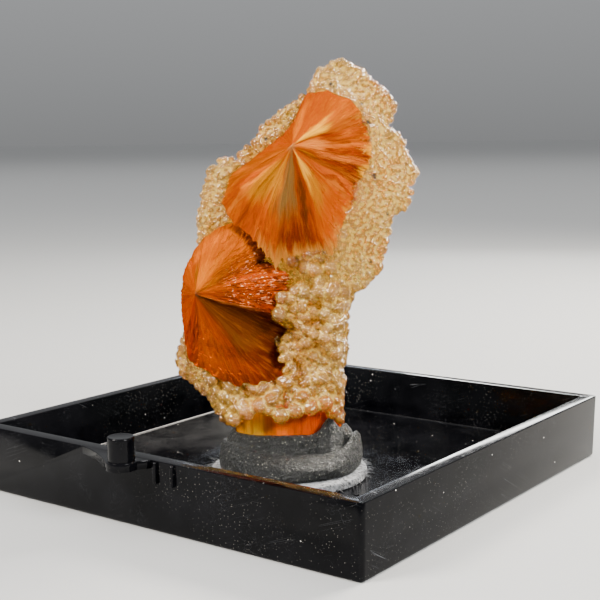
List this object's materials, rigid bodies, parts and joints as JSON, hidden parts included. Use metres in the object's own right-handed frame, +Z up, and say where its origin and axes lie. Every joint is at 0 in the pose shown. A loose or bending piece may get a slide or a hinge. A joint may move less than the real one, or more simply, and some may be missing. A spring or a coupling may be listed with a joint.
{
  "type": "scolecite with chalcedony specimen",
  "caption": "Thumbnail mineral specimen: orange radial scolecite sprays with cream lumpy chalcedony, standing in dark putty on a felt disc in a shallow square black box base.",
  "frame": {"origin": "middle of the flat underside of the box base", "axes": "+Z up, out of the open tray; the tray's walls run along X and Y; -Y is the wall that carries the peg"},
  "size_m": [0.032, 0.0341, 0.0293],
  "materials": {
    "black_plastic": "glossy black with fine scratches and dust",
    "white_felt": "fuzzy white",
    "grey_putty": "satin, slightly grainy",
    "orange_and_cream_stone": "silky radiating blades beside glassy translucent lumps"
  },
  "bodies": {
    "root": {"box_base": "black_plastic", "felt_disc": "white_felt", "mounting_putty": "grey_putty", "scolecite_specimen": "orange_and_cream_stone"}
  },
  "joints": []
}
